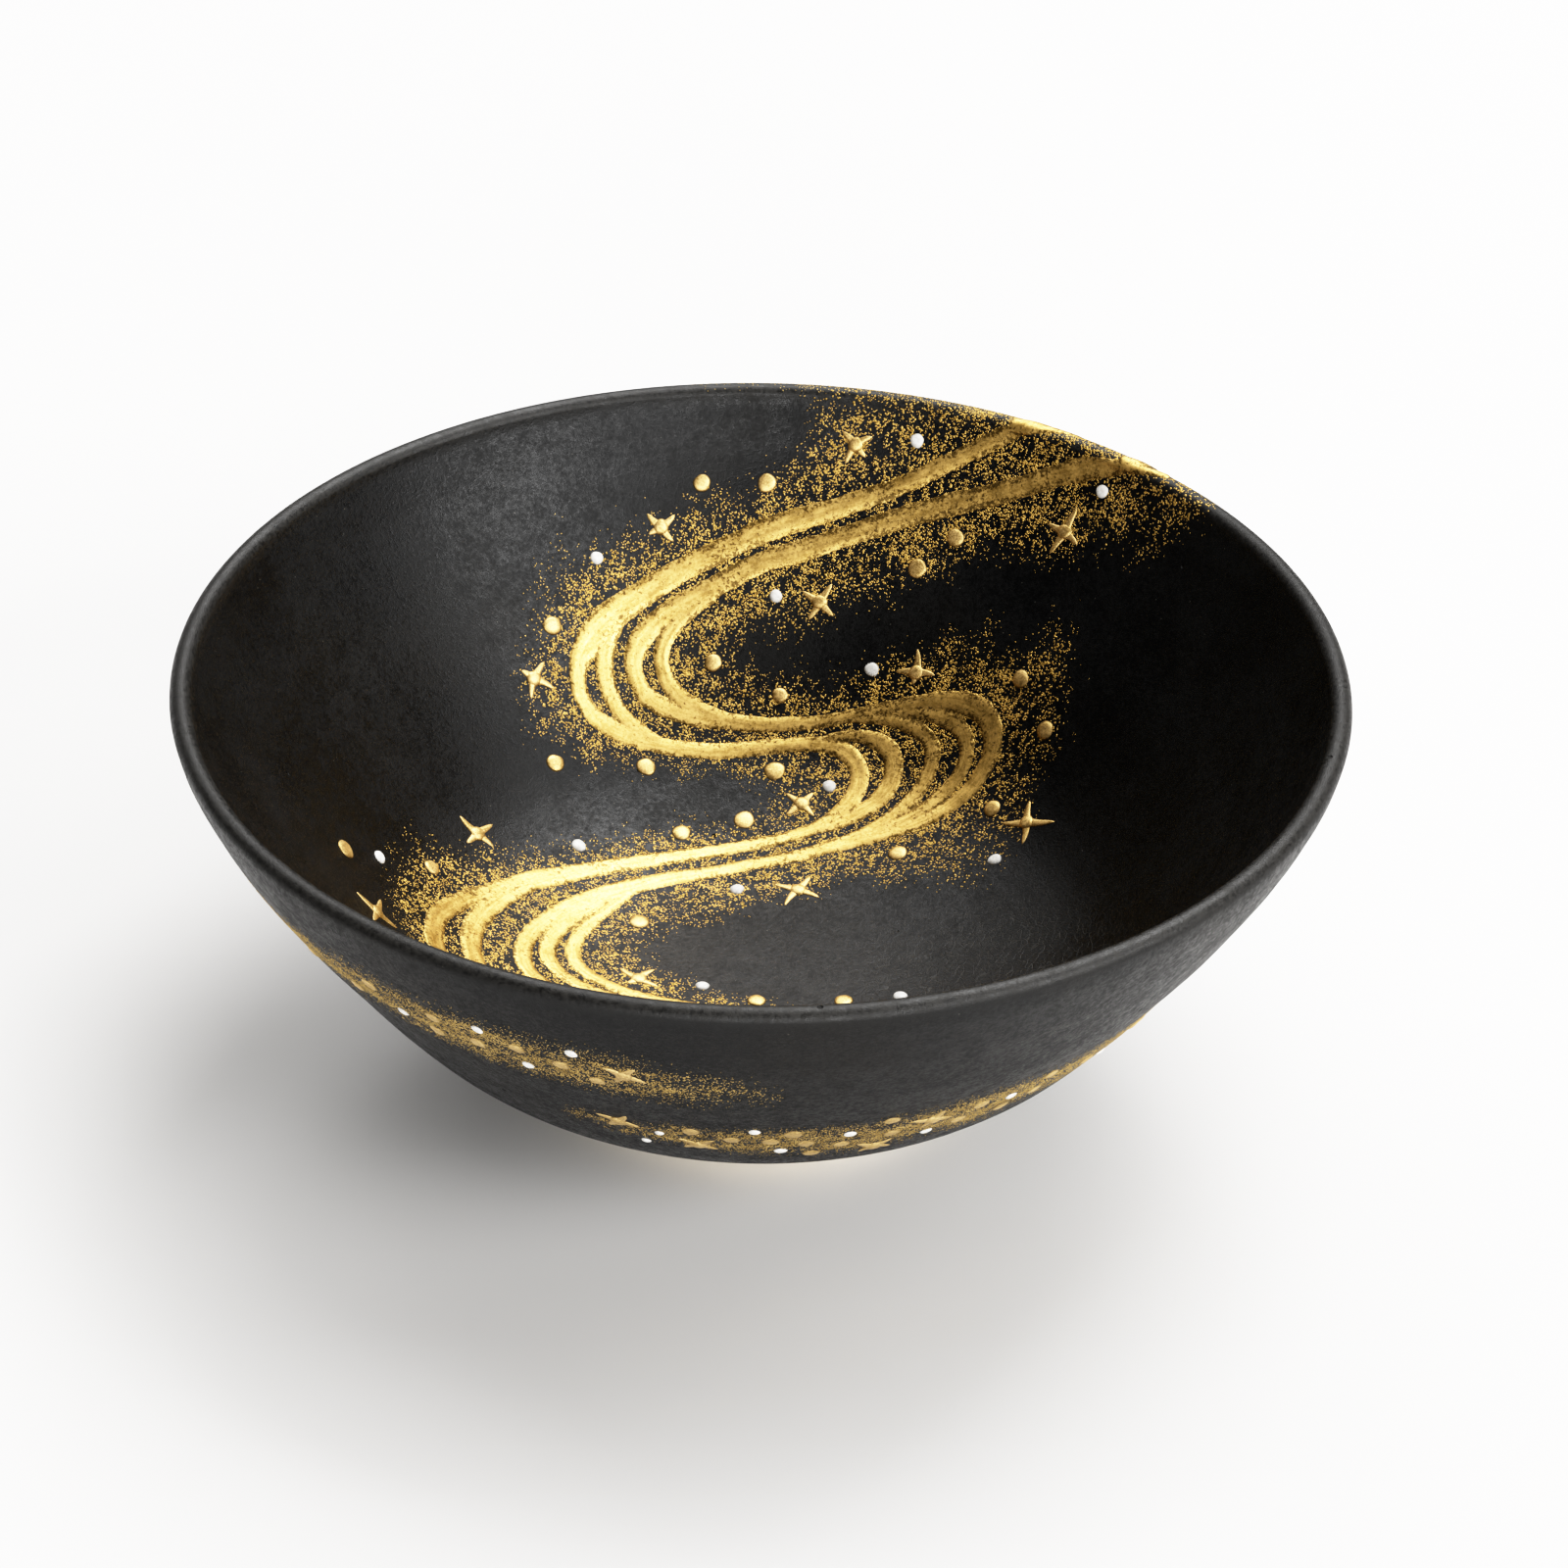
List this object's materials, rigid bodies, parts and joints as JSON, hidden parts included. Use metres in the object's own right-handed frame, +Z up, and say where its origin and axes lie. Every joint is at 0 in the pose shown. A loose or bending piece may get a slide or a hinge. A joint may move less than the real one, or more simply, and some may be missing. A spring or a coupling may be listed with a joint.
{
  "type": "tea bowl",
  "caption": "Wide, shallow round tea bowl on a small foot ring, matte black glaze inside and out, with a raised gold stream, dots and stars.",
  "frame": {"origin": "centre of the foot's underside, on the surface the bowl stands on", "axes": "+Z up along the bowl's axis; -Y towards the front of the bowl, +X to the right; the gold stream crosses the lip at the back right (+X +Y)"},
  "size_m": [0.15, 0.15, 0.0603],
  "materials": {
    "bare_stoneware": "unglazed, fine grit",
    "black_glaze": "matte to satin",
    "gold": "gold over raised enamel, satin",
    "white_enamel": "raised enamel, satin"
  },
  "bodies": {
    "root": {"clay_body": "bare_stoneware", "black_glaze": "black_glaze", "gold_stream_upper_course": "gold", "gold_stream_lower_course": "gold", "gold_dots_inside": "gold", "gold_dots_outside": "gold", "white_dots_inside": "white_enamel", "white_dots_outside": "white_enamel", "gold_stars_inside": "gold", "gold_stars_outside": "gold"}
  },
  "joints": []
}
